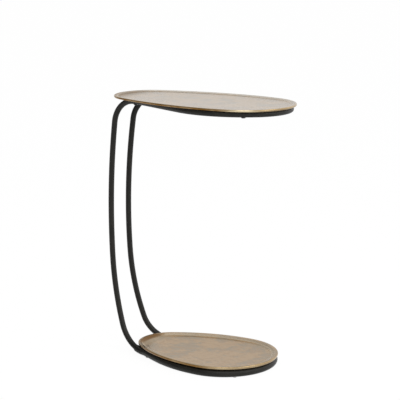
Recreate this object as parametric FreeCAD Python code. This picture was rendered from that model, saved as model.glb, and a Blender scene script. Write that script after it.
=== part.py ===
import FreeCAD, Part
import math
import os

from FreeCAD import Vector

# An oval side table: two oval cast trays on a frame of bent steel tube, open at the front.
# Lengths are millimetres and angles degrees. +X points to the open end and +Z up, and the near
# side is -Y. The plan is drawn from its own zero, then moved so that the origin lies on the
# floor under the middle of the whole table.

# Overall height, and how the frame stands and carries its trays
table_height = 600.0
glide_stand = 0.4
top_seat_gap = 0.1
base_seat_gap = 0.4

# Top tray: front tip, rear tip and half width, and its section
top_front_x = 225.0
top_rear_x = -224.5
top_half_width = 120.0
top_tray_height = 4.7
top_dish_depth = 2.5
top_rim_width = 5.0
top_cove_width = 8.0
top_cove_lip_radius = 1.6
top_rim_radius = 1.6
top_wall_straight = 1.5

# Base tray: smaller in plan, and a deeper casting with a well rounded underside
base_front_x = 183.0
base_rear_x = -164.0
base_half_width = 121.9
base_rim_height = 24.8
base_dish_depth = 5.0
base_rim_width = 6.5
base_cove_width = 12.0
base_cove_lip_radius = 2.5
base_rim_radius = 1.3
base_wall_straight = 0.3

# Outline of each oval: front radius, rear radius and the distance from the front tip to the
# widest place, each over the half width
top_outline_shares = (0.95, 0.717, 1.458)
base_outline_shares = (0.96, 0.64, 1.03)

# Tubes: the loop and uprights are one size, and the base ring is thicker
tube_radius = 6.5
tube_wall = 2.0
ring_tube_radius = 8.0
ring_tube_wall = 2.0

# Top loop in plan, set in from the tray's edge
loop_front_inset = 11.1
loop_side_inset = 7.7
loop_nose_radius = 91.7
loop_side_radius = 178.7
loop_flare = 20.7

# Base ring in plan: its nose is a half circle, and its side arcs are drawn from the tray's own,
# with these shares of the radius and the turn
ring_front_inset = 10.2
ring_side_inset = 6.6
ring_side_shares = (0.875, 0.773)
ring_lift = 17.3

# Uprights: the place where they reach furthest back, and the radii of their bends
back_x = -232.2
back_y = 33.8
back_z = 321.8
top_bend_radius = 61.7
bow_radius = 1565.0
bow_lower_turn = 3.54
shin_radius = 593.0
foot_bend_radius = 79.2
loop_bend_reach = 9.7
loop_stub = 15.5
ring_bend_reach = 4.8

# Welded joints between the tubes
seam_run = 20.0
seam_gap = 2.0
spigot_reach = 15.0
spigot_slack = 0.1
plug_flange = 2.0
plug_reach = 5.0
plug_slack = 0.3
fillet_weld_rise = 1.3
fillet_weld_edge = 0.3
fillet_weld_run = 2.0

# Top tray's fixings: a sleeve and a button head screw up through the tube into a cast boss
screw_radius = 2.5
screw_slack = 0.1
thread_slack = 0.05
sleeve_radius = 4.0
hole_slack = 0.1
boss_length = 5.0
boss_hole_extra = 1.2
button_radius = 4.75
button_height = 2.75
button_round = 1.4
button_socket_flats = 3.0
button_socket_depth = 1.6
spot_face_depth = 1.2
spot_face_slack = 0.15
top_screw_run = 25.7

# Base tray's fixings: a bush sunk in the ring hides a cap head screw, and a glide closes it
bush_radius = 5.5
bush_recess = 1.0
bush_bore_radius = 4.6
base_boss_length = 6.0
cap_radius = 4.25
cap_height = 5.0
cap_socket_flats = 4.0
cap_socket_depth = 2.5
stack_gap = 0.1
glide_thickness = 2.4
glide_slack = 0.1
glide_chamfer = 0.4
base_screw_angle = 45.0
base_screw_run = 38.0

cut_overrun = 5.0

# Heights and plan places that follow from the sizes above
top_underside = table_height - top_tray_height
loop_z = top_underside - top_seat_gap - tube_radius
ring_z = glide_stand + ring_tube_radius
base_underside = ring_z + ring_tube_radius + base_seat_gap
loop_tip_x = top_front_x - loop_front_inset
loop_half_width = top_half_width - loop_side_inset
ring_tip_x = base_front_x - ring_front_inset
ring_half_width = base_half_width - ring_side_inset
tube_bore = tube_radius - tube_wall
ring_bore = ring_tube_radius - ring_tube_wall
middle_x = (top_front_x + back_x - tube_radius) / 2
up = Vector(0, 0, 1)


def sine(degrees):
    return math.sin(math.radians(degrees))


def cosine(degrees):
    return math.cos(math.radians(degrees))


def plan(degrees):
    return Vector(cosine(degrees), sine(degrees), 0)


class Walk:
    # A tube's centreline, walked as straight runs and tangent bends
    def __init__(self, place, heading):
        self.place = Vector(place)
        self.heading = Vector(heading)
        self.pieces = []

    def run(self, length):
        self.pieces.append((self.place, self.heading, self.heading * length, None, 0))
        self.place = self.place + self.heading * length

    def bend(self, radius, degrees, axis):
        # A positive turn is to the left, seen against the axis
        side = axis.cross(self.heading) * math.copysign(radius, degrees)
        centre = self.place + side
        turn_axis = axis * math.copysign(1, degrees)
        self.pieces.append((self.place, self.heading, centre, turn_axis, abs(degrees)))
        rotation = FreeCAD.Rotation(axis, degrees)
        self.place = centre + rotation.multVec(side * -1)
        self.heading = rotation.multVec(self.heading)

    def tube(self, radius, bore):
        # A ring-shaped section carried along every run and bend
        solids = []
        for place, heading, target, axis, degrees in self.pieces:
            section = Part.Face(Part.Wire([Part.makeCircle(radius, place, heading)]))
            if bore > 0:
                section = section.cut(Part.Face(Part.Wire([Part.makeCircle(bore, place, heading)])))
            if axis is None:
                solids.append(section.extrude(target))
            else:
                solids.append(section.revolve(target, axis, degrees))
        if len(solids) == 1:
            return solids[0]
        return solids[0].multiFuse(solids[1:]).removeSplitter()


class Bow:
    # A U in plan: a round nose, two side arcs and two straight legs that draw in to the back
    def __init__(self, tip_x, nose_radius, half_width, side_radius, flare, z):
        self.nose_radius = nose_radius
        self.side_radius = side_radius
        self.flare = flare
        self.z = z
        reach = side_radius - nose_radius
        self.nose_turn = math.degrees(math.asin((side_radius - half_width) / reach))
        self.nose_centre = Vector(tip_x - nose_radius, 0, z)
        self.side_centre = self.nose_centre + plan(180 - self.nose_turn) * reach
        self.leg_start = self.side_centre + plan(-90 - flare) * side_radius
        self.backward = plan(180 - flare)

    def meet(self, point, distance):
        # The place on the near leg's line that lies this far from a point in plan
        offset = self.leg_start - Vector(point.x, point.y, self.z)
        along = offset.dot(self.backward)
        short = math.sqrt(along ** 2 - offset.dot(offset) + distance ** 2)
        return self.leg_start - self.backward * (along + short)

    def near_side(self, run):
        # The place on the near side arc this far behind the nose
        angle = self.nose_turn + math.degrees(run / self.side_radius)
        return self.side_centre + plan(-angle) * self.side_radius

    def near_nose(self, angle):
        return self.nose_centre + plan(-angle) * self.nose_radius

    def walk_round(self, walk, leg):
        # From the near leg round the nose to the far leg
        walk.run(leg)
        walk.bend(self.side_radius, self.flare + 90 - self.nose_turn, up)
        walk.bend(self.nose_radius, 2 * self.nose_turn, up)
        walk.bend(self.side_radius, self.flare + 90 - self.nose_turn, up)
        walk.run(leg)


class Oval:
    # A tray's outline: a front arc, a rear arc and two pairs of side arcs, all tangent
    def __init__(self, front_x, rear_x, half_width, shares):
        front_share, rear_share, widest_share = shares
        front_radius = half_width * front_share
        rear_radius = half_width * rear_share
        widest_x = front_x - half_width * widest_share
        self.arcs = []
        front = self.side_arc(half_width, front_radius, front_x - front_radius - widest_x)
        rear = self.side_arc(half_width, rear_radius, widest_x - rear_x - rear_radius)
        self.rear_side_radius = rear[0]
        self.rear_side_turn = 90 - rear[1]
        self.add(Vector(front_x - front_radius, 0, 0), front_radius, -front[1], front[1])
        self.add(Vector(widest_x, half_width - front[0], 0), front[0], front[1], 90)
        self.add(Vector(widest_x, half_width - rear[0], 0), rear[0], 90, 180 - rear[1])
        self.add(Vector(rear_x + rear_radius, 0, 0), rear_radius, 180 - rear[1], 180 + rear[1])
        self.add(Vector(widest_x, rear[0] - half_width, 0), rear[0], 180 + rear[1], 270)
        self.add(Vector(widest_x, front[0] - half_width, 0), front[0], 270, 360 - front[1])

    def side_arc(self, half_width, end_radius, reach):
        # Radius of the side arc, and the angle where the end arc takes over from it
        radius = (reach ** 2 + half_width ** 2 - end_radius ** 2) / (2 * (half_width - end_radius))
        return radius, math.degrees(math.atan2(radius - half_width, reach))

    def add(self, centre, radius, start, end):
        self.arcs.append((centre, radius, start, end))

    def plate(self, inset, low, high):
        # The solid inside the outline, drawn in by the inset
        edges = []
        for centre, radius, start, end in self.arcs:
            spoke = radius - inset
            points = [centre + plan(a) * spoke + up * low for a in (start, (start + end) / 2, end)]
            edges.append(Part.Arc(*points).toShape())
        return Part.Face(Part.Wire(edges)).extrude(up * (high - low))

    def rim(self, section):
        # The section, drawn as pairs of inset and height, carried round every arc
        pieces = []
        for centre, radius, start, end in self.arcs:
            outward = plan(start)
            face = section_face(section, centre + outward * radius, outward * -1)
            pieces.append(face.revolve(centre, up, end - start))
        return pieces


def section_face(section, corner, inward):
    # Each piece of a section is two points, or three for an arc
    edges = []
    for piece in section:
        points = [corner + inward * inset + up * height for inset, height in piece]
        if len(points) == 2:
            edges.append(Part.LineSegment(*points).toShape())
        else:
            edges.append(Part.Arc(*points).toShape())
    return Part.Face(Part.Wire(edges))


def tray(oval, underside, top, depth, rim_width, cove_width, lip_radius, rim_radius, wall_straight):
    # A dish: rounded underside, short upright wall, flat rim and a cove down to the floor
    under_radius = top - underside - rim_radius - wall_straight
    floor = top - depth
    inner = rim_width + cove_width
    turn = 2 * math.degrees(math.atan2(depth, cove_width))
    cove_radius = cove_width / sine(turn) - lip_radius
    wall_foot = underside + under_radius
    wall_head = top - rim_radius
    lip_end = (rim_width + lip_radius * sine(turn), top - lip_radius * (1 - cosine(turn)))
    lip_middle = (rim_width + lip_radius * sine(turn / 2), top - lip_radius * (1 - cosine(turn / 2)))
    cove_middle = (inner - cove_radius * sine(turn / 2), floor + cove_radius * (1 - cosine(turn / 2)))
    under_middle = (under_radius * (1 - sine(45)), wall_foot - under_radius * sine(45))
    rim_middle = (rim_radius * (1 - sine(45)), wall_head + rim_radius * sine(45))
    section = [
        [(inner, underside), (under_radius, underside)],
        [(under_radius, underside), under_middle, (0, wall_foot)],
        [(0, wall_foot), (0, wall_head)],
        [(0, wall_head), rim_middle, (rim_radius, top)],
        [(rim_radius, top), (rim_width, top)],
        [(rim_width, top), lip_middle, lip_end],
        [lip_end, cove_middle, (inner, floor)],
        [(inner, floor), (inner, underside)],
    ]
    middle = oval.plate(inner, underside, floor)
    return middle.multiFuse(oval.rim(section)).removeSplitter()


def rod(radius, low, high, point):
    # An upright cylinder between two heights over a plan point
    return Part.makeCylinder(radius, high - low, Vector(point.x, point.y, low))


def socket(flats, low, depth, point):
    # A six-sided key socket that opens downward
    corner = flats / 2 / cosine(30)
    corners = [Vector(point.x, point.y, low) + plan(60 * k) * corner for k in range(7)]
    return Part.Face(Part.makePolygon(corners)).extrude(up * depth)


def with_bosses(plate, underside, length, points):
    # Cast bosses that reach down into the tube, with blind tapped holes
    for point in points:
        plate = plate.fuse(rod(sleeve_radius, underside - length, underside, point))
        hole_top = underside + boss_hole_extra
        plate = plate.cut(rod(screw_radius + thread_slack, underside - length, hole_top, point))
    return plate


def far_of(point):
    return Vector(point.x, -point.y, point.z)


def mirrored(shape):
    return shape.mirror(Vector(0, 0, 0), Vector(0, 1, 0))


# The tubes' route. Each upright lies in two upright planes, which meet where it stands vertical.
top_oval = Oval(top_front_x, top_rear_x, top_half_width, top_outline_shares)
base_oval = Oval(base_front_x, base_rear_x, base_half_width, base_outline_shares)
loop = Bow(loop_tip_x, loop_nose_radius, loop_half_width, loop_side_radius, loop_flare, loop_z)
ring_side_radius = base_oval.rear_side_radius * ring_side_shares[0]
ring_flare = base_oval.rear_side_turn * ring_side_shares[1]
ring = Bow(ring_tip_x, ring_half_width, ring_half_width, ring_side_radius, ring_flare, ring_z)
back = Vector(back_x, -back_y, back_z)

upper_rise = loop_z - back_z
bow_upper_turn = math.degrees(math.asin((upper_rise - top_bend_radius) / (bow_radius - top_bend_radius)))
upper_reach = bow_radius * (1 - cosine(bow_upper_turn)) + top_bend_radius * cosine(bow_upper_turn)

lower_drop = back_z - ring_z
bow_drop = (bow_radius - shin_radius) * sine(bow_lower_turn)
shin_share = (lower_drop - bow_drop - foot_bend_radius) / (shin_radius - foot_bend_radius)
shin_turn = math.degrees(math.asin(shin_share)) - bow_lower_turn
shin_end_turn = bow_lower_turn + shin_turn
lower_reach = (bow_radius * (1 - cosine(bow_lower_turn))
               + shin_radius * (cosine(bow_lower_turn) - cosine(shin_end_turn))
               + foot_bend_radius * cosine(shin_end_turn))

loop_corner = loop.meet(back, upper_reach + loop_stub + loop_bend_reach)
ring_corner = ring.meet(back, lower_reach + ring_bend_reach)


def plan_direction(start, end):
    step = Vector(end.x - start.x, end.y - start.y, 0)
    return step.normalize()


top_forward = plan_direction(back, loop_corner)
foot_forward = plan_direction(back, ring_corner)
top_side = up.cross(top_forward)
foot_side = up.cross(foot_forward)
loop_bend_turn = loop_flare + math.degrees(math.atan2(top_forward.y, top_forward.x))
ring_bend_turn = ring_flare + math.degrees(math.atan2(foot_forward.y, foot_forward.x))
loop_bend_radius = loop_bend_reach / math.tan(math.radians(loop_bend_turn / 2))
ring_bend_radius = ring_bend_reach / math.tan(math.radians(ring_bend_turn / 2))
loop_leg = (loop_corner - loop.leg_start).Length - loop_bend_reach
ring_leg = (ring_corner - ring.leg_start).Length - ring_bend_reach
seam = loop_corner - loop.backward * (loop_bend_reach + seam_run)
foot_level = ring_corner - foot_forward * ring_bend_reach
half_flange_turn = math.degrees(plug_flange / 2 / foot_bend_radius)


def on_foot_bend(lift):
    # The place and the forward direction where the foot's bend has this slope
    back_step = foot_forward * -foot_bend_radius * sine(lift)
    rise = up * foot_bend_radius * (1 - cosine(lift))
    return foot_level + back_step + rise, foot_forward * cosine(lift) - up * sine(lift)


foot_joint, foot_heading = on_foot_bend(ring_lift)

# Screw places on the near side: the far side mirrors them
stub_middle = loop_corner - top_forward * (loop_bend_reach + loop_stub / 2)
top_screw_points = [loop.near_side(top_screw_run), stub_middle]
base_screw_points = [ring.near_nose(base_screw_angle), ring.leg_start + ring.backward * base_screw_run]
top_screw_points += [far_of(point) for point in top_screw_points]
base_screw_points += [far_of(point) for point in base_screw_points]

# Heights in the two stacks of fixings
tube_low = loop_z - tube_radius
spot_face_z = tube_low + spot_face_depth
sleeve_top = top_underside - boss_length - stack_gap
cap_low = glide_thickness + stack_gap
cap_seat = cap_low + cap_height
bush_low = glide_stand + bush_recess
bush_top = base_underside - base_boss_length - stack_gap


def make_top_tray():
    plate = tray(top_oval, top_underside, table_height, top_dish_depth, top_rim_width, top_cove_width,
                 top_cove_lip_radius, top_rim_radius, top_wall_straight)
    return with_bosses(plate, top_underside, boss_length, top_screw_points)


def make_base_tray():
    plate = tray(base_oval, base_underside, base_rim_height, base_dish_depth, base_rim_width,
                 base_cove_width, base_cove_lip_radius, base_rim_radius, base_wall_straight)
    return with_bosses(plate, base_underside, base_boss_length, base_screw_points)


def loop_walk():
    walk = Walk(seam - loop.backward * seam_gap / 2, loop.backward * -1)
    loop.walk_round(walk, loop_leg - seam_run - seam_gap / 2)
    return walk


def drill_for_sleeve(shape, point):
    # One drill right through the tube, and a flat for the screw's head underneath
    high = loop_z + tube_radius + cut_overrun
    shape = shape.cut(rod(sleeve_radius + hole_slack, tube_low - cut_overrun, high, point))
    return shape.cut(rod(button_radius + spot_face_slack, tube_low - cut_overrun, spot_face_z, point))


def make_top_loop():
    walk = loop_walk()
    shape = walk.tube(tube_radius, tube_bore)
    for point in top_screw_points:
        shape = drill_for_sleeve(shape, point)
    return shape


def ring_walk():
    # The ring's tails lift a little to meet the uprights
    tail = ring_lift - half_flange_turn
    walk = Walk(*on_foot_bend(tail))
    walk.bend(foot_bend_radius, tail, foot_side * -1)
    walk.bend(ring_bend_radius, -ring_bend_turn, up)
    ring.walk_round(walk, ring_leg)
    walk.bend(ring_bend_radius, -ring_bend_turn, up)
    walk.bend(foot_bend_radius, tail, up.cross(far_of(foot_forward)))
    return walk


def make_base_ring():
    walk = ring_walk()
    shape = walk.tube(ring_tube_radius, ring_bore)
    for point in base_screw_points:
        shape = shape.cut(rod(sleeve_radius + hole_slack, ring_z, base_underside + cut_overrun, point))
        shape = shape.cut(rod(bush_radius + hole_slack, -cut_overrun, ring_z, point))
    return shape


def upright_walk():
    # From the seam under the top tray, back, down and forward to the ring
    walk = Walk(seam + loop.backward * seam_gap / 2, loop.backward)
    walk.run(seam_run - seam_gap / 2)
    walk.bend(loop_bend_radius, loop_bend_turn, up)
    walk.run(loop_stub)
    walk.bend(top_bend_radius, 90 - bow_upper_turn, top_side * -1)
    walk.bend(bow_radius, bow_upper_turn, top_side * -1)
    walk.bend(bow_radius, bow_lower_turn, foot_side * -1)
    walk.bend(shin_radius, shin_turn, foot_side * -1)
    walk.bend(foot_bend_radius, 90 - shin_end_turn - ring_lift - half_flange_turn, foot_side * -1)
    return walk


def make_near_upright():
    walk = upright_walk()
    shape = walk.tube(tube_radius, tube_bore)
    return drill_for_sleeve(shape, stub_middle)


def make_spigot():
    start = seam + loop.backward * spigot_reach
    return Part.makeCylinder(tube_bore - spigot_slack, 2 * spigot_reach, start, loop.backward * -1)


def make_seam_weld():
    # Ground flush with the two tube ends that it joins
    walk = Walk(seam + loop.backward * seam_gap / 2, loop.backward * -1)
    walk.run(seam_gap)
    return walk.tube(tube_radius, tube_bore)


def make_base_plug():
    # A flange that carries on the bend between the tubes, and a boss into each
    walk = Walk(*on_foot_bend(ring_lift + half_flange_turn))
    walk.bend(foot_bend_radius, 2 * half_flange_turn, foot_side * -1)
    length = plug_flange / 2 + plug_reach
    into_ring = Part.makeCylinder(ring_bore - plug_slack, length, foot_joint, foot_heading)
    into_upright = Part.makeCylinder(tube_bore - plug_slack, length, foot_joint, foot_heading * -1)
    return walk.tube(ring_tube_radius, 0).fuse(into_ring).fuse(into_upright).removeSplitter()


def make_fillet_weld():
    # A cone of weld round the upright's foot, on the plug's flange
    start, heading = on_foot_bend(ring_lift + half_flange_turn)
    wide = tube_radius + fillet_weld_rise
    narrow = tube_radius + fillet_weld_edge
    bead = Part.makeCone(wide, narrow, fillet_weld_run, start, heading * -1)
    return bead.cut(upright_walk().tube(tube_radius, 0))


def make_top_screw(point):
    head_low = spot_face_z - button_height
    head = rod(button_radius, head_low, spot_face_z, point)
    lower_edge = [edge for edge in head.Edges if edge.CenterOfMass.z - head_low < button_height / 4]
    head = head.makeFillet(button_round, lower_edge)
    shank = rod(screw_radius, spot_face_z, top_underside, point)
    return head.fuse(shank).cut(socket(button_socket_flats, head_low, button_socket_depth, point))


def make_top_sleeve(point):
    return rod(sleeve_radius, spot_face_z, sleeve_top, point).cut(
        rod(screw_radius + screw_slack, spot_face_z, sleeve_top, point))


def make_base_screw(point):
    head = rod(cap_radius, cap_low, cap_seat, point)
    shank = rod(screw_radius, cap_seat, base_underside, point)
    return head.fuse(shank).cut(socket(cap_socket_flats, cap_low, cap_socket_depth, point))


def make_base_bush(point):
    bush = rod(bush_radius, bush_low, bush_top, point)
    bush = bush.cut(rod(bush_bore_radius, bush_low, cap_seat, point))
    return bush.cut(rod(screw_radius + screw_slack, cap_seat, bush_top, point))


def make_glide(point):
    glide = rod(bush_bore_radius - glide_slack, 0, glide_thickness, point)
    lower_edge = [edge for edge in glide.Edges if edge.CenterOfMass.z < glide_thickness / 4]
    return glide.makeChamfer(glide_chamfer, lower_edge)


def group(maker, points):
    return Part.makeCompound([maker(point) for point in points])


def save(node, shape):
    placed = shape.copy()
    placed.translate(Vector(-middle_x, 0, 0))
    placed.exportStep("parts/" + node + ".step")
    print(node, len(placed.Solids), round(placed.Volume), placed.isValid())


def save_pair(name, shape):
    save("near_" + name, shape)
    save("far_" + name, mirrored(shape))


os.makedirs("parts", exist_ok=True)
save("top_tray", make_top_tray())
save("base_tray", make_base_tray())
save("top_loop", make_top_loop())
save("base_ring", make_base_ring())
save_pair("upright", make_near_upright())
save_pair("top_spigot", make_spigot())
save_pair("base_plug", make_base_plug())
save_pair("top_weld", make_seam_weld())
save_pair("base_weld", make_fillet_weld())
save("top_tray_screws", group(make_top_screw, top_screw_points))
save("top_screw_sleeves", group(make_top_sleeve, top_screw_points))
save("base_tray_screws", group(make_base_screw, base_screw_points))
save("base_screw_bushes", group(make_base_bush, base_screw_points))
save("floor_glides", group(make_glide, base_screw_points))
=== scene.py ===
# Looks for the oval side table: two cast trays with an antique brass finish on a black bent tube
# frame. Lengths are metres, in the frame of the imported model.
import math

import bpy
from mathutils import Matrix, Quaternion, Vector


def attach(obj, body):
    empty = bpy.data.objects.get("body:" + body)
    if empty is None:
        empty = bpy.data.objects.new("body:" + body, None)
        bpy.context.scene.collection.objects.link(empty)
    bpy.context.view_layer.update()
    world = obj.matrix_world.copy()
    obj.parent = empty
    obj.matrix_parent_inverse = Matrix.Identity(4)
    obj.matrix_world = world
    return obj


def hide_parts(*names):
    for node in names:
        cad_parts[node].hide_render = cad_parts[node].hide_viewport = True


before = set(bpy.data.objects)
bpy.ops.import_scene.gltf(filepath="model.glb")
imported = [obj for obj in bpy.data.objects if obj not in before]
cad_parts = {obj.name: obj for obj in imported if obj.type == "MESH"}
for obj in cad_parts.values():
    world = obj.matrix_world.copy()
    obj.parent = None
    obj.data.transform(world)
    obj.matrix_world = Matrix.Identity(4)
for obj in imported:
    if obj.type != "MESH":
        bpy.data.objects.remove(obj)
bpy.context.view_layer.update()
print("frame loaded:", len(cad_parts), "nodes")

middleX = 0.00685  # the drawing's own zero lies this far along +X in the frame
mergeDistance = 0.000005


# Small helpers for meshes
def openMesh():
    bpy.ops.object.mode_set(mode="EDIT")


def closeMesh():
    bpy.ops.object.mode_set(mode="OBJECT")


def startPiece(name):
    piece = bpy.context.object
    piece.name = name
    piece.data.name = name
    return piece


def pickOnly(piece):
    bpy.ops.object.select_all(action="DESELECT")
    piece.select_set(True)
    bpy.context.view_layer.objects.active = piece


def mergeAll():
    bpy.ops.mesh.select_all(action="SELECT")
    bpy.ops.mesh.remove_doubles(threshold=mergeDistance)


def fillOpenings():
    bpy.ops.mesh.select_all(action="DESELECT")
    bpy.ops.mesh.select_non_manifold(use_wire=False, use_multi_face=False,
                                     use_non_contiguous=False, use_verts=False)
    bpy.ops.mesh.fill_holes(sides=0)


def finishPiece(piece, angle=40):
    # Merge, turn the faces outward and smooth all edges up to this angle
    pickOnly(piece)
    openMesh()
    bpy.ops.mesh.select_mode(type="VERT")
    mergeAll()
    bpy.ops.mesh.normals_make_consistent(inside=False)
    closeMesh()
    bpy.ops.object.transform_apply(location=True, rotation=True, scale=True)
    bpy.ops.object.shade_smooth_by_angle(angle=math.radians(angle))


def mirrorAcross(piece, name, angle=40):
    # The far side's copy has its own mesh
    pickOnly(piece)
    bpy.ops.object.duplicate()
    copy = startPiece(name)
    openMesh()
    bpy.ops.mesh.select_all(action="SELECT")
    bpy.ops.transform.mirror(constraint_axis=(False, True, False), center_override=(0, 0, 0))
    closeMesh()
    finishPiece(copy, angle)
    return copy


def place(piece, material, slot, *nodes):
    piece.data.materials.clear()
    piece.data.materials.append(material)
    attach(piece, "root")
    if nodes:
        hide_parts(*nodes)


# Small helpers for materials: each adds a node to the tree and gives its output
def newMaterial(name):
    material = bpy.data.materials.new(name)
    material.use_nodes = True
    return material, material.node_tree, material.node_tree.nodes["Principled BSDF"]


def feed(tree, value, socket):
    # Numbers and colours are set on the socket, and outputs are linked to it
    if isinstance(value, (float, int)):
        socket.default_value = value
    elif isinstance(value, tuple):
        socket.default_value = (*value, 1)
    else:
        tree.links.new(value, socket)


def objectPlace(tree):
    return tree.nodes.new("ShaderNodeTexCoord").outputs["Object"]


def noiseAt(tree, where, scale, detail, roughness):
    noise = tree.nodes.new("ShaderNodeTexNoise")
    for name, number in (("Scale", scale), ("Detail", detail), ("Roughness", roughness)):
        noise.inputs[name].default_value = number
    tree.links.new(where, noise.inputs["Vector"])
    return noise.outputs["Fac"]


def rangeOf(tree, value, low, high, toLow=0.0, toHigh=1.0):
    ranged = tree.nodes.new("ShaderNodeMapRange")
    ranged.interpolation_type = "SMOOTHSTEP"
    for name, number in (("From Min", low), ("From Max", high),
                         ("To Min", toLow), ("To Max", toHigh)):
        ranged.inputs[name].default_value = number
    tree.links.new(value, ranged.inputs["Value"])
    return ranged.outputs["Result"]


def partOf(tree, vector, axis):
    split = tree.nodes.new("ShaderNodeSeparateXYZ")
    tree.links.new(vector, split.inputs[0])
    return split.outputs[axis]


def mixColours(tree, share, first, second, blend="MIX"):
    mix = tree.nodes.new("ShaderNodeMix")
    mix.data_type = "RGBA"
    mix.blend_type = blend
    for value, socket in ((share, 0), (first, 6), (second, 7)):
        feed(tree, value, mix.inputs[socket])
    return mix.outputs[2]


def mathOf(tree, operation, *values):
    node = tree.nodes.new("ShaderNodeMath")
    node.operation = operation
    for socket, value in enumerate(values):
        feed(tree, value, node.inputs[socket])
    return node.outputs[0]


def productOf(tree, first, second):
    return mathOf(tree, "MULTIPLY", first, second)


def bumpOf(tree, height, strength, distance, under=None):
    bump = tree.nodes.new("ShaderNodeBump")
    bump.inputs["Strength"].default_value = strength
    bump.inputs["Distance"].default_value = distance
    tree.links.new(height, bump.inputs["Height"])
    if under is not None:
        tree.links.new(under, bump.inputs["Normal"])
    return bump.outputs["Normal"]


# Cast trays with an antique brass finish. A noise is its scale, detail and roughness, and shows
# between two of its values. A bump is its strength and depth. "Faces" are how far up a face looks,
# as its normal's Z, while a tone fades. Starts and ends are measured from the rim's inner edge.
castFinish = {
    "patina": (0.335, 0.22, 0.10), "patinaWarm": (0.285, 0.168, 0.06),
    "patinaGrey": (0.23, 0.173, 0.10), "speck": (0.19, 0.12, 0.05),
    # The worn tone is bright metal where the rim is worn, and is laid on thickly at the front as a
    # painted highlight
    "rimBrass": (0.50, 0.36, 0.18), "wornAndHighlightTone": (0.78, 0.67, 0.45),
    # Painted shade colours: the wall under the rim, and the cove's rear end
    "wall": (0.19, 0.09, 0.014), "paintedCoveShadeColour": (0.175, 0.085, 0.02),
    "cloud": (26, 4, 0.6), "cloudShows": (0.43, 0.57), "cloudBump": (0.25, 0.001),
    "patch": (70, 5, 0.65), "patchShows": (0.46, 0.66), "patchStretch": (1, 2.6, 1),
    "pit": (330, 3, 0.6), "pitShows": (0.60, 0.74), "pitShare": 0.7, "pitBump": (0.3, 0.0002),
    "grain": (900, 4, 0.7), "grainShows": (0.3, 0.7), "grainBump": (0.35, 0.0002),
    # Painted sheen: how much paler the cove is painted in place of reflected light, and where the
    # floor's rear is painted paler too
    "paintedSheen": 0.85, "paintedSheenStarts": (0, 0.001), "coveFaces": (0.90, 0.996),
    "paintedPaleFloorStarts": (0.003, 0.008),
    # Where the cove's rear end is painted dark as shade, measured from the rim's inner edge
    "paintedCoveShadeStarts": (-0.003, -0.0005), "paintedCoveShadeEnds": (0.007, 0.014), "paintedCoveShadeWobble": 0.004,
    # The rim's tone away from the front is wear, in clouds
    "restWear": 0.25, "wearClouds": (0.4, 0.7), "wearCloudShare": 0.2,
    "roundingWidth": 1.2, "roundingFaces": (0.75, 0.98),
    # Where the wall and the rounding under the rim are painted dark as shade
    "wallShadeFaces": (0.05, 0.45), "wallShadeDepth": 0.001,
    "coveMetal": 0.25, "roughness": (0.12, 0.26),
    "coveRougher": 0.37, "rearRougher": 0.16, "rimSmoother": 0.01,
    "coat": 0.1, "coatRoughness": 0.18,
}
# Where, along X, each tray has painted shade in its cove, a floor painted paler and a duller
# finish at its rear, and a painted highlight on its rim at its front
topPaintedLightAndWear = {
    "paintedCoveShadeSpan": (-0.21, -0.17), "paintedCoveShade": 0.3,
    "paintedPaleFloorSpan": (-0.21, -0.17), "paintedPaleFloor": 0.0, "dullSpan": (-0.21, -0.14),
    "paintedHighlightSpan": (0.115, 0.17), "paintedHighlightFades": (0.18, 0.21), "paintedHighlightShare": 0.85,
    # The painted sheen colour is paler on the top tray than on the base, which sits in the top
    # tray's shade
    "tint": (1, 1, 1), "paintedSheenColour": (0.74, 0.70, 0.63),
}
basePaintedLightAndWear = {
    "paintedCoveShadeSpan": (-0.147, -0.125), "paintedCoveShade": 1.0,
    "paintedPaleFloorSpan": (-0.147, -0.10), "paintedPaleFloor": 0.8, "dullSpan": (-0.147, -0.095),
    "paintedHighlightSpan": (0.06, 0.14), "paintedHighlightFades": (0.165, 0.18), "paintedHighlightShare": 0.35,
    "tint": (1, 0.95, 0.85), "paintedSheenColour": (0.54, 0.45, 0.33),
}


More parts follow.
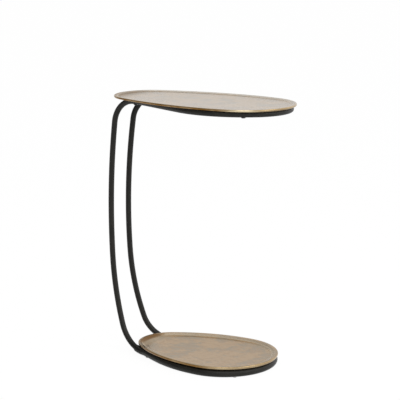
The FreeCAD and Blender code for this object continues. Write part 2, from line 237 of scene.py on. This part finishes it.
def makeCastFinish(name, tray, paintedLightAndWear, finish):
    material, tree, shader = newMaterial(name)
    where = objectPlace(tree)
    run = tree.nodes.new("ShaderNodeAttribute")
    run.attribute_name = "edgeRun"
    run = run.outputs["Fac"]
    upward = partOf(tree, tree.nodes.new("ShaderNodeNewGeometry").outputs["Normal"], "Z")
    along = partOf(tree, where, "X")
    rim = tray["rim"]
    coveEnd = rim + tray["cove"]

    def pastRim(distance, span, toLow=0.0, toHigh=1.0):
        return rangeOf(tree, distance, rim + span[0], rim + span[1], toLow, toHigh)

    # Blotched patina with darker specks in the casting's pits
    cloud = noiseAt(tree, where, *finish["cloud"])
    stretch = tree.nodes.new("ShaderNodeMapping")
    stretch.inputs["Scale"].default_value = finish["patchStretch"]
    tree.links.new(where, stretch.inputs["Vector"])
    patch = noiseAt(tree, stretch.outputs["Vector"], *finish["patch"])
    grain = noiseAt(tree, where, *finish["grain"])
    pit = noiseAt(tree, where, *finish["pit"])
    colour = mixColours(tree, rangeOf(tree, cloud, *finish["cloudShows"]),
                        finish["patinaGrey"], finish["patina"])
    colour = mixColours(tree, rangeOf(tree, patch, *finish["patchShows"]),
                        colour, finish["patinaWarm"])
    colour = mixColours(tree, rangeOf(tree, pit, *finish["pitShows"], 0.0, finish["pitShare"]),
                        colour, finish["speck"])
    colour = mixColours(tree, 1.0, colour, paintedLightAndWear["tint"], "MULTIPLY")

    # Painted sheen: the cove, and the floor at the rear, painted paler and made duller in place of
    # reflected light
    rearPaintedCoveShade = rangeOf(tree, along, *paintedLightAndWear["paintedCoveShadeSpan"], paintedLightAndWear["paintedCoveShade"], 0.0)
    paintedSheen = productOf(tree, pastRim(run, finish["paintedSheenStarts"]),
                      rangeOf(tree, upward, *finish["coveFaces"], finish["paintedSheen"], 0.0))
    paintedSheen = productOf(tree, paintedSheen, mathOf(tree, "SUBTRACT", 1.0, rearPaintedCoveShade))
    paintedPaleFloorMask = productOf(tree, pastRim(run, finish["paintedPaleFloorStarts"]),
                      rangeOf(tree, along, *paintedLightAndWear["paintedPaleFloorSpan"], paintedLightAndWear["paintedPaleFloor"], 0.0))
    paintedSheen = mathOf(tree, "MAXIMUM", paintedSheen, paintedPaleFloorMask)
    colour = mixColours(tree, paintedSheen, colour, paintedLightAndWear["paintedSheenColour"])

    # Painted shade: brown in the cove's rear end, where its wall faces away from the light
    wobble = finish["paintedCoveShadeWobble"]
    uneven = mathOf(tree, "MULTIPLY_ADD", patch, wobble, -wobble / 2)
    wobbly = mathOf(tree, "ADD", run, uneven)
    paintedCoveShade = productOf(tree, pastRim(wobbly, finish["paintedCoveShadeStarts"]),
                      pastRim(wobbly, finish["paintedCoveShadeEnds"], 1.0, 0.0))
    paintedCoveShade = productOf(tree, paintedCoveShade, rearPaintedCoveShade)
    colour = mixColours(tree, paintedCoveShade, colour, finish["paintedCoveShadeColour"])
    dulled = mathOf(tree, "MAXIMUM", paintedSheen, paintedCoveShade)

    # Rounded rim in a brass tone with some wear to bright metal, a painted highlight laid on its
    # front, and painted shade on the wall under it
    rimRadius = tray["rimRadius"]
    outer = rangeOf(tree, run, rimRadius, rimRadius * finish["roundingWidth"], 1.0, 0.0)
    rounding = productOf(tree, outer, rangeOf(tree, upward, *finish["roundingFaces"], 1.0, 0.0))
    wearAndPaintedHighlight = productOf(tree, rangeOf(tree, along, *paintedLightAndWear["paintedHighlightSpan"]),
                       rangeOf(tree, along, *paintedLightAndWear["paintedHighlightFades"], paintedLightAndWear["paintedHighlightShare"], finish["restWear"]))
    wearAndPaintedHighlight = mathOf(tree, "ADD", wearAndPaintedHighlight, rangeOf(tree, cloud, *finish["wearClouds"],
                                                 0.0, finish["wearCloudShare"]))
    wall = productOf(tree, rangeOf(tree, upward, *finish["wallShadeFaces"], 1.0, 0.0),
                     rangeOf(tree, run, coveEnd - finish["wallShadeDepth"], coveEnd, 1.0, 0.0))
    highlightAndWallShade = mathOf(tree, "MAXIMUM", productOf(tree, rounding, wearAndPaintedHighlight), wall)
    colour = mixColours(tree, rounding, colour, finish["rimBrass"])
    colour = mixColours(tree, highlightAndWallShade, colour,
                        mixColours(tree, wearAndPaintedHighlight, finish["wall"], finish["wornAndHighlightTone"]))
    tree.links.new(colour, shader.inputs["Base Color"])

    # Shine and relief
    tree.links.new(mathOf(tree, "MULTIPLY_ADD", dulled, finish["coveMetal"] - 1, 1.0),
                   shader.inputs["Metallic"])
    rough = rangeOf(tree, grain, *finish["grainShows"], *finish["roughness"])
    rough = mathOf(tree, "MULTIPLY_ADD", dulled, finish["coveRougher"], rough)
    rough = mathOf(tree, "ADD", rough,
                   rangeOf(tree, along, *paintedLightAndWear["dullSpan"], finish["rearRougher"], 0.0))
    tree.links.new(mathOf(tree, "MULTIPLY_ADD", highlightAndWallShade, -finish["rimSmoother"], rough),
                   shader.inputs["Roughness"])
    shader.inputs["Coat Weight"].default_value = finish["coat"]
    shader.inputs["Coat Roughness"].default_value = finish["coatRoughness"]
    relief = bumpOf(tree, cloud, *finish["cloudBump"])
    relief = bumpOf(tree, pit, *finish["pitBump"], relief)
    relief = bumpOf(tree, grain, *finish["grainBump"], relief)
    tree.links.new(relief, shader.inputs["Normal"])
    return material


# Black powder coat of the tube frame, thinner in places, with fine orange peel
coatFinish = {
    "colour": (0.011, 0.0105, 0.0085), "thin": (0.018, 0.017, 0.014),
    "cloud": (40, 3, 0.6), "thinShows": (0.35, 0.7),
    "dullShows": (0.3, 0.7), "roughness": (0.38, 0.47), "specular": 0.22,
    "peel": (900, 3, 0.55), "peelBump": (0.35, 0.00012),
}


def makeCoat(name, finish):
    material, tree, shader = newMaterial(name)
    where = objectPlace(tree)
    cloud = noiseAt(tree, where, *finish["cloud"])
    peel = noiseAt(tree, where, *finish["peel"])
    colour = mixColours(tree, rangeOf(tree, cloud, *finish["thinShows"]),
                        finish["colour"], finish["thin"])
    tree.links.new(colour, shader.inputs["Base Color"])
    tree.links.new(rangeOf(tree, cloud, *finish["dullShows"], *finish["roughness"]),
                   shader.inputs["Roughness"])
    shader.inputs["Specular IOR Level"].default_value = finish["specular"]
    tree.links.new(bumpOf(tree, peel, *finish["peelBump"]), shader.inputs["Normal"])
    return material


# Finishes of screws, sleeves, bushes and glides, with small scuffs
fastenerFinishes = {
    "blackOxideScrew": {"colour": (0.035, 0.034, 0.033), "metallic": 0.6,
                        "roughness": (0.46, 0.30), "scuff": (1400, 4, 0.65)},
    "bareSteel": {"colour": (0.42, 0.41, 0.40), "metallic": 1.0,
                  "roughness": (0.44, 0.28), "scuff": (900, 4, 0.65)},
    "glidePlastic": {"colour": (0.045, 0.045, 0.047), "metallic": 0.0,
                     "roughness": (0.65, 0.49), "scuff": (1100, 4, 0.65)},
}
scuffValues = {
    "shade": 0.62, "colourShows": (0.35, 0.65), "dullShows": (0.3, 0.7), "bump": (0.2, 0.0001),
}


def makeFastenerFinish(name):
    finish = fastenerFinishes[name]
    material, tree, shader = newMaterial(name)
    scuff = noiseAt(tree, objectPlace(tree), *finish["scuff"])
    darker = tuple(scuffValues["shade"] * channel for channel in finish["colour"])
    tone = mixColours(tree, rangeOf(tree, scuff, *scuffValues["colourShows"]),
                      darker, finish["colour"])
    tree.links.new(tone, shader.inputs["Base Color"])
    shader.inputs["Metallic"].default_value = finish["metallic"]
    tree.links.new(rangeOf(tree, scuff, *scuffValues["dullShows"], *finish["roughness"]),
                   shader.inputs["Roughness"])
    tree.links.new(bumpOf(tree, scuff, *scuffValues["bump"]), shader.inputs["Normal"])
    return material


blackCoat = makeCoat("blackPowderCoat", coatFinish)
blackScrew = makeFastenerFinish("blackOxideScrew")
bareSteel = makeFastenerFinish("bareSteel")
glidePlastic = makeFastenerFinish("glidePlastic")
print("finishes made")


# Trays: the section is drawn once, then spun round each arc of the oval outline
topTrayValues = {
    "front": 0.225, "rear": -0.2245, "halfWidth": 0.120, "shares": (0.95, 0.717, 1.458),
    "top": 0.600, "height": 0.0047, "dish": 0.0025, "rim": 0.005, "cove": 0.008,
    "lipRadius": 0.0016, "rimRadius": 0.0016, "wall": 0.0015,
}
baseTrayValues = {
    "front": 0.1830, "rear": -0.1640, "halfWidth": 0.1219, "shares": (0.96, 0.64, 1.03),
    "top": 0.0248, "height": 0.0080, "dish": 0.005, "rim": 0.0065, "cove": 0.012,
    "lipRadius": 0.0025, "rimRadius": 0.0013, "wall": 0.0003,
}
# Steps of each rounding of the section, and of the outline's arcs
traySteps = {"cove": 8, "lip": 5, "rim": 6, "under": 8, "arcLeast": 6, "arcLength": 0.003}
slack = {"point": 0.00002, "angle": 0.001, "height": 0.0001}


def ovalArcs(values):
    # Each arc is its centre's x and y, its radius, and where it starts and ends, in radians
    half = values["halfWidth"]
    frontRadius, rearRadius, widest = (half * share for share in values["shares"])
    widestX = values["front"] - widest
    sides = []
    for endRadius, reach in ((frontRadius, values["front"] - frontRadius - widestX),
                             (rearRadius, widestX - values["rear"] - rearRadius)):
        radius = (reach ** 2 + half ** 2 - endRadius ** 2) / (2 * (half - endRadius))
        sides.append((radius, math.atan2(radius - half, reach)))
    (front, frontTurn), (rear, rearTurn) = sides
    frontX = values["front"] - frontRadius + middleX
    rearX = values["rear"] + rearRadius + middleX
    widestX += middleX
    quarter = math.pi / 2
    return [
        (frontX, 0, frontRadius, -frontTurn, frontTurn),
        (widestX, half - front, front, frontTurn, quarter),
        (widestX, half - rear, rear, quarter, math.pi - rearTurn),
        (rearX, 0, rearRadius, math.pi - rearTurn, math.pi + rearTurn),
        (widestX, rear - half, rear, math.pi + rearTurn, 3 * quarter),
        (widestX, front - half, front, 3 * quarter, 4 * quarter - frontTurn),
    ]


def roundPoints(centre, radius, start, end, count):
    # Points of a section's arc, as distance in from the edge and height
    points = []
    for k in range(count + 1):
        angle = math.radians(start + (end - start) * k / count)
        points.append((centre[0] + radius * math.cos(angle), centre[1] + radius * math.sin(angle)))
    return points


def traySection(values):
    # From the floor's edge up the cove, over the lip and rim, and down round the underside
    top, dish, cove = values["top"], values["dish"], values["cove"]
    lipRadius, rimRadius = values["lipRadius"], values["rimRadius"]
    inner = values["rim"] + cove
    under = top - values["height"]
    turn = 2 * math.degrees(math.atan2(dish, cove))
    coveRadius = cove / math.sin(math.radians(turn)) - lipRadius
    underRadius = values["height"] - rimRadius - values["wall"]
    section = roundPoints((inner, top - dish + coveRadius), coveRadius,
                          270, 270 - turn, traySteps["cove"])
    section += roundPoints((values["rim"], top - lipRadius), lipRadius,
                           90 - turn, 90, traySteps["lip"])
    section += roundPoints((rimRadius, top - rimRadius), rimRadius, 90, 180, traySteps["rim"])
    section += roundPoints((underRadius, under + underRadius), underRadius,
                           180, 270, traySteps["under"])
    section.append((inner, under))
    clean = [section[0]]
    for point in section[1:]:
        if math.dist(point, clean[-1]) > slack["point"]:
            clean.append(point)
    return clean


def measureEdgeRun(piece, values, arcs):
    # Distance in from the outline at each vertex, for the finish. The underside has the floor's
    edgeRun = piece.data.attributes.new("edgeRun", "FLOAT", "POINT")
    inner = values["rim"] + values["cove"]
    under = values["top"] - values["height"]
    for vertex, item in zip(piece.data.vertices, edgeRun.data):
        run = inner
        for x, y, radius, start, end in arcs:
            angle = math.atan2(vertex.co.y - y, vertex.co.x - x)
            off = (angle - (start + end) / 2 + math.pi) % (2 * math.pi) - math.pi
            if abs(off) <= (end - start) / 2 + slack["angle"]:
                run = min(run, radius - math.dist((vertex.co.x, vertex.co.y), (x, y)))
        item.value = run if vertex.co.z > under + slack["height"] else inner


def makeTray(name, values):
    arcs = ovalArcs(values)
    x, y, radius, start, end = arcs[0]
    outward = Vector((math.cos(start), math.sin(start), 0))
    corner = Vector((x, y, 0)) + outward * radius
    points = [corner - outward * inset + Vector((0, 0, height))
              for inset, height in traySection(values)]
    bpy.ops.object.select_all(action="DESELECT")
    bpy.ops.mesh.primitive_plane_add(size=0.002)
    piece = startPiece(name)
    openMesh()
    bpy.ops.mesh.select_mode(type="VERT")
    bpy.ops.mesh.select_all(action="SELECT")
    bpy.ops.mesh.merge(type="CENTER")
    bpy.ops.transform.translate(value=points[0])
    for before, after in zip(points, points[1:]):
        bpy.ops.mesh.extrude_region_move(TRANSFORM_OT_translate={"value": after - before})
    bpy.ops.mesh.select_all(action="SELECT")
    for x, y, radius, start, end in arcs:
        length = radius * (end - start)
        steps = max(traySteps["arcLeast"], round(length / traySteps["arcLength"]))
        bpy.ops.mesh.spin(steps=steps, angle=start - end, center=(x, y, 0), axis=(0, 0, 1))
    mergeAll()
    fillOpenings()
    closeMesh()
    finishPiece(piece)
    measureEdgeRun(piece, values, arcs)
    return piece


topFinish = makeCastFinish("antiqueBrassTop", topTrayValues, topPaintedLightAndWear, castFinish)
baseFinish = makeCastFinish("antiqueBrassBase", baseTrayValues, basePaintedLightAndWear, castFinish)
topTray = makeTray("topTray", topTrayValues)
place(topTray, topFinish, "antique_brass", "top_tray")
baseTray = makeTray("baseTray", baseTrayValues)
place(baseTray, baseFinish, "antique_brass", "base_tray")
print("trays made")


# Tubes: a circle carried along a route, whose parts are a straight run's length, or a turn's
# radius, degrees and axis
upAxis = (0, 0, 1)
downAxis = (0, 0, -1)
topAxis = (-0.156863, -0.98762, 0)
footAxis = (-0.239861, -0.970807, 0)
farFootAxis = (-0.239861, 0.970807, 0)
loopValues = {
    "start": (-0.103761, -0.06049, 0.5887), "heading": (0.935444, -0.353475, 0),
    "radius": 0.0065,
    "route": [(0.113936,), (0.1787, 60.9512, upAxis), (0.0917, 99.4975, upAxis),
              (0.1787, 60.9512, upAxis), (0.113936,)],
}
ringValues = {
    "start": (-0.14591, -0.05512, 0.011692), "heading": (0.93046, -0.229892, -0.285296),
    "radius": 0.008,
    "route": [(0.0792, 16.5766, footAxis), (0.044103, 12.4228, downAxis), (0.047838,),
              (0.292548, 26.3012, upAxis), (0.1153, 180, upAxis), (0.292548, 26.3012, upAxis),
              (0.047838,), (0.044103, 12.4228, downAxis), (0.0792, 16.5766, farFootAxis)],
}
uprightValues = {
    "start": (-0.105632, -0.059783, 0.5887), "heading": (-0.935444, 0.353475, 0),
    "radius": 0.0065,
    "route": [(0.019,), (0.094876, 11.6751, upAxis), (0.0155,), (0.0617, 82.1547, topAxis),
              (1.565, 7.8453, topAxis), (1.565, 3.54, footAxis), (0.593, 16.2766, footAxis),
              (0.0792, 52.16, footAxis)],
}
tubeSteps = {"around": 40, "turnLeast": 4, "turnDegrees": 3, "turnLength": 0.012}

# Flats under the top screws' heads, and holes from below for the base screws' bushes
headFlat = {"radius": 0.0049, "low": 0.5815, "high": 0.5834, "corners": 36}
bushHole = {"radius": 0.0056, "low": -0.002, "high": 0.0084, "corners": 36}
screwPlaces = {
    "loop": [(0.160712, -0.085128), (0.160712, 0.085128)],
    "ring": [(0.139029, -0.081529), (0.139029, 0.081529),
             (-0.106191, -0.068177), (-0.106191, 0.068177)],
    "upright": [(-0.149713, -0.046901)],
}


def makeTube(name, values):
    spot = Vector(values["start"]) + Vector((middleX, 0, 0))
    heading = Vector(values["heading"]).normalized()
    bpy.ops.object.select_all(action="DESELECT")
    bpy.ops.mesh.primitive_circle_add(vertices=tubeSteps["around"], radius=values["radius"],
                                      location=spot,
                                      rotation=heading.to_track_quat("Z", "Y").to_euler())
    piece = startPiece(name)
    bpy.ops.object.transform_apply(location=True, rotation=True, scale=True)
    openMesh()
    bpy.ops.mesh.select_all(action="SELECT")
    for part in values["route"]:
        if len(part) == 1:
            step = heading * part[0]
            bpy.ops.mesh.extrude_region_move(TRANSFORM_OT_translate={"value": step})
            spot = spot + step
            continue
        radius, degrees, axis = part
        angle = math.radians(degrees)
        axis = Vector(axis)
        centre = spot + axis.cross(heading) * radius
        steps = max(tubeSteps["turnLeast"], round(degrees / tubeSteps["turnDegrees"]),
                    round(radius * angle / tubeSteps["turnLength"]))
        bpy.ops.mesh.spin(steps=steps, angle=-angle, center=centre, axis=axis)
        turn = Quaternion(axis, angle)
        spot = centre + turn @ (spot - centre)
        heading = turn @ heading
    fillOpenings()
    closeMesh()
    finishPiece(piece)
    return piece


def cutRound(piece, recess, places):
    for x, y in places:
        bpy.ops.object.select_all(action="DESELECT")
        bpy.ops.mesh.primitive_cylinder_add(
            vertices=recess["corners"], radius=recess["radius"],
            depth=recess["high"] - recess["low"],
            location=(x + middleX, y, (recess["low"] + recess["high"]) / 2))
        cutter = bpy.context.object
        pickOnly(piece)
        cut = piece.modifiers.new("recess", "BOOLEAN")
        cut.operation = "DIFFERENCE"
        cut.solver = "EXACT"
        cut.object = cutter
        bpy.ops.object.modifier_apply(modifier=cut.name)
        pickOnly(cutter)
        bpy.ops.object.delete()
    finishPiece(piece)


topLoop = makeTube("topLoop", loopValues)
cutRound(topLoop, headFlat, screwPlaces["loop"])
place(topLoop, blackCoat, "black_coat", "top_loop")
baseRing = makeTube("baseRing", ringValues)
cutRound(baseRing, bushHole, screwPlaces["ring"])
place(baseRing, blackCoat, "black_coat", "base_ring")
nearUpright = makeTube("nearUpright", uprightValues)
cutRound(nearUpright, headFlat, screwPlaces["upright"])
farUpright = mirrorAcross(nearUpright, "farUpright")
place(nearUpright, blackCoat, "black_coat", "near_upright")
place(farUpright, blackCoat, "black_coat", "far_upright")
print("tubes made")


# Rippled bead of weld round each upright's foot: each ripple's first corner is moved inward
weldValues = {
    "spot": (-0.147765, -0.054662, 0.01228), "heading": (-0.926889, 0.22901, 0.297375),
    "wide": 0.0078, "narrow": 0.0068, "run": 0.002,
    "ripples": 26, "corners": 4, "dip": 0.96, "dipWidth": 0.1, "smooth": 60,
}


def makeWeld(name, values):
    bpy.ops.object.select_all(action="DESELECT")
    bpy.ops.mesh.primitive_cone_add(vertices=values["corners"] * values["ripples"],
                                    radius1=values["wide"], radius2=values["narrow"],
                                    depth=values["run"])
    piece = startPiece(name)
    openMesh()
    bpy.ops.mesh.select_mode(type="VERT")
    bpy.ops.mesh.select_all(action="DESELECT")
    closeMesh()
    for vertex in piece.data.vertices:
        turns = math.atan2(vertex.co.y, vertex.co.x) / (2 * math.pi) * values["ripples"]
        vertex.select = abs(turns - round(turns)) < values["dipWidth"]
    openMesh()
    bpy.ops.transform.resize(value=(values["dip"], values["dip"], 1), center_override=(0, 0, 0))
    closeMesh()
    heading = Vector(values["heading"])
    piece.rotation_euler = heading.to_track_quat("Z", "Y").to_euler()
    piece.location = Vector(values["spot"]) + Vector((middleX, 0, 0)) + heading * values["run"] / 2
    finishPiece(piece, values["smooth"])
    return piece


nearWeld = makeWeld("nearBaseWeld", weldValues)
farWeld = mirrorAcross(nearWeld, "farBaseWeld", weldValues["smooth"])
place(nearWeld, blackCoat, "black_coat", "near_base_weld")
place(farWeld, blackCoat, "black_coat", "far_base_weld")
print("welds made")

# CAD nodes that stay as they are
staying = {
    blackCoat: ("near_base_plug", "far_base_plug", "near_top_weld", "far_top_weld"),
    blackScrew: ("top_tray_screws", "base_tray_screws"),
    bareSteel: ("near_top_spigot", "far_top_spigot", "top_screw_sleeves", "base_screw_bushes"),
    glidePlastic: ("floor_glides",),
}
for material, names in staying.items():
    for name in names:
        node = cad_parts[name]
        node.data.materials.clear()
        node.data.materials.append(material)
print("fasteners dressed")


# Floor, light and camera. The world is brighter on one side, and reflects a dimmer ceiling
studio = {
    "floorSize": 60, "floorColour": (0.93, 0.93, 0.93), "floorRoughness": 0.9,
    "floorGlow": 0.93, "glowStrength": 1.02,
    "worldLight": 0.75, "ceiling": 0.9, "ceilingHeights": (0.42, 0.70),
    "brighterSide": (0.834, 0.552, 0), "dimSide": 0.15, "dimSpan": (-0.9, -0.2),
    "brightSide": 1.4, "brightSpan": (0.2, 0.9),
    "lamps": {
        "keyLamp": {"power": 20, "size": 1.6, "place": (1.33, -2.06, 2.66)},
        "sideLamp": {"power": 20, "size": 1.6, "place": (2.9, -0.1, 2.2)},
    },
    "aim": (0, 0, 0.35),
}
white = (1, 1, 1, 1)


def seenDirectly(tree):
    # One where the camera, a reflection or glass sees the surface, and zero where it lights others
    path = tree.nodes.new("ShaderNodeLightPath")
    seen = mathOf(tree, "MAXIMUM", path.outputs["Is Camera Ray"], path.outputs["Is Glossy Ray"])
    return mathOf(tree, "MAXIMUM", seen, path.outputs["Is Transmission Ray"])


def chooseShader(tree, share, first, second):
    choice = tree.nodes.new("ShaderNodeMixShader")
    for socket, output in enumerate((share, first, second)):
        tree.links.new(output, choice.inputs[socket])
    return choice.outputs[0]


world = bpy.data.worlds.new("softStudio")
bpy.context.scene.world = world
world.use_nodes = True
tree = world.node_tree
lighting = tree.nodes["Background"]
backdrop = tree.nodes.new("ShaderNodeBackground")
for background in (lighting, backdrop):
    background.inputs["Color"].default_value = white
skyward = tree.nodes.new("ShaderNodeTexCoord").outputs["Generated"]
height = partOf(tree, skyward, "Z")
across = tree.nodes.new("ShaderNodeVectorMath")
across.operation = "DOT_PRODUCT"
across.inputs[1].default_value = studio["brighterSide"]
tree.links.new(skyward, across.inputs[0])
across = across.outputs["Value"]
sides = productOf(tree, rangeOf(tree, across, *studio["dimSpan"], studio["dimSide"], 1.0),
                  rangeOf(tree, across, *studio["brightSpan"], 1.0, studio["brightSide"]))
tree.links.new(productOf(tree, sides, studio["worldLight"]), lighting.inputs["Strength"])
reflected = productOf(tree, sides, rangeOf(tree, height, *studio["ceilingHeights"],
                                           1.0, studio["ceiling"]))
change = mathOf(tree, "SUBTRACT", reflected, 1.0)
onlyReflected = tree.nodes.new("ShaderNodeLightPath").outputs["Is Glossy Ray"]
tree.links.new(mathOf(tree, "MULTIPLY_ADD", change, onlyReflected, 1.0),
               backdrop.inputs["Strength"])
tree.links.new(chooseShader(tree, seenDirectly(tree), lighting.outputs[0], backdrop.outputs[0]),
               tree.nodes["World Output"].inputs["Surface"])

bpy.ops.object.select_all(action="DESELECT")
bpy.ops.mesh.primitive_plane_add(size=studio["floorSize"])
floor = startPiece("studioFloor")
floorPaint, tree, shader = newMaterial("studioFloorPaint")
shader.inputs["Base Color"].default_value = (*studio["floorColour"], 1)
shader.inputs["Roughness"].default_value = studio["floorRoughness"]
shader.inputs["Specular IOR Level"].default_value = 0.0
glow = tree.nodes.new("ShaderNodeEmission")
glow.inputs["Color"].default_value = white
glow.inputs["Strength"].default_value = studio["glowStrength"]
share = productOf(tree, seenDirectly(tree), studio["floorGlow"])
tree.links.new(chooseShader(tree, share, shader.outputs[0], glow.outputs[0]),
               tree.nodes["Material Output"].inputs["Surface"])
floor.data.materials.append(floorPaint)

for name, values in studio["lamps"].items():
    lamp = bpy.data.lights.new(name, "AREA")
    lamp.energy = values["power"]
    lamp.size = values["size"]
    stand = bpy.data.objects.new(name, lamp)
    stand.location = values["place"]
    toAim = Vector(studio["aim"]) - stand.location
    stand.rotation_euler = toAim.to_track_quat("-Z", "Y").to_euler()
    bpy.context.scene.collection.objects.link(stand)

cameraValues = {
    "azimuth": 33.50762, "pitch": 11.42710, "distance": 3.45143, "height": 1.06820,
    "lens": 140.3209, "sensor": 36, "shift": -0.00639,
}
lens = bpy.data.cameras.new("photoCamera")
lens.lens = cameraValues["lens"]
lens.sensor_width = cameraValues["sensor"]
lens.shift_x = cameraValues["shift"]
camera = bpy.data.objects.new("photoCamera", lens)
turn = math.radians(cameraValues["azimuth"])
camera.location = (cameraValues["distance"] * math.sin(turn) + middleX,
                   -cameraValues["distance"] * math.cos(turn), cameraValues["height"])
camera.rotation_euler = (math.radians(90 - cameraValues["pitch"]), 0, turn)
bpy.context.scene.collection.objects.link(camera)
bpy.context.scene.camera = camera
bpy.context.scene.view_settings.view_transform = "Standard"
print("studio ready")
